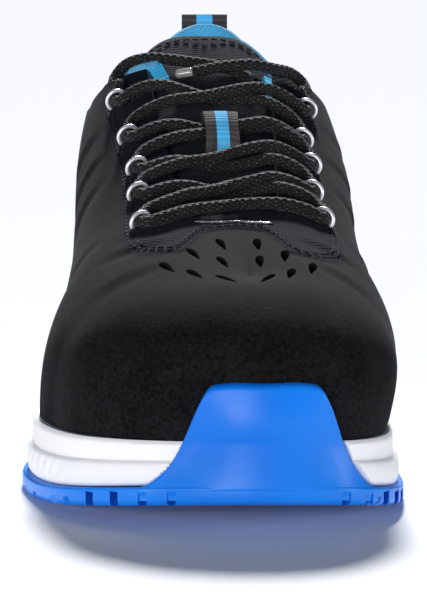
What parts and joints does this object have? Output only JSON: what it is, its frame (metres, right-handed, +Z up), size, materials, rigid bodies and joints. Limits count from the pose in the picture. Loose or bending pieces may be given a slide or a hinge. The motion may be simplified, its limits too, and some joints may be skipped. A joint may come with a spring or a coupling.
{
  "type": "safety sneaker",
  "caption": "Low right safety sneaker with a hollow upper, laced tongue, padded collar, foam midsole and grooved outsole with a raised toe bumper",
  "frame": {"origin": "on the floor plane under the middle of the shoe's outline", "axes": "+Z up, -Y towards the toe, +X towards the inner (medial) side of the right foot"},
  "size_m": [0.1122, 0.3, 0.1353],
  "materials": {
    "blue_rubber": "satin moulded rubber",
    "white_foam": "matte moulded foam",
    "blue_lining": "matte textile lining",
    "black_microfibre": "matte napped microfibre",
    "black_textile": "matte woven textile",
    "bright_wire": "polished wire",
    "black_lace": "round braided cord",
    "grey_webbing": "ribbed webbing with a blue stripe"
  },
  "bodies": {
    "root": {"outsole": "blue_rubber", "midsole": "white_foam", "insole": "blue_lining", "upper": "black_microfibre", "tongue": "black_textile", "collar_pad": "blue_lining", "lace_loop_lateral_1": "bright_wire", "lace_loop_lateral_2": "bright_wire", "lace_loop_lateral_3": "bright_wire", "lace_loop_lateral_4": "bright_wire", "lace_loop_lateral_5": "bright_wire", "lace_loop_medial_1": "bright_wire", "lace_loop_medial_2": "bright_wire", "lace_loop_medial_3": "bright_wire", "lace_loop_medial_4": "bright_wire", "lace_loop_medial_5": "bright_wire", "lace_bar": "black_lace", "lace_crossing_1": "black_lace", "lace_crossing_2": "black_lace", "lace_crossing_3": "black_lace", "lace_crossing_4": "black_lace", "lace_end_lateral": "black_lace", "lace_end_medial": "black_lace", "tongue_keeper": "grey_webbing", "heel_pull_tab": "grey_webbing"}
  },
  "joints": []
}
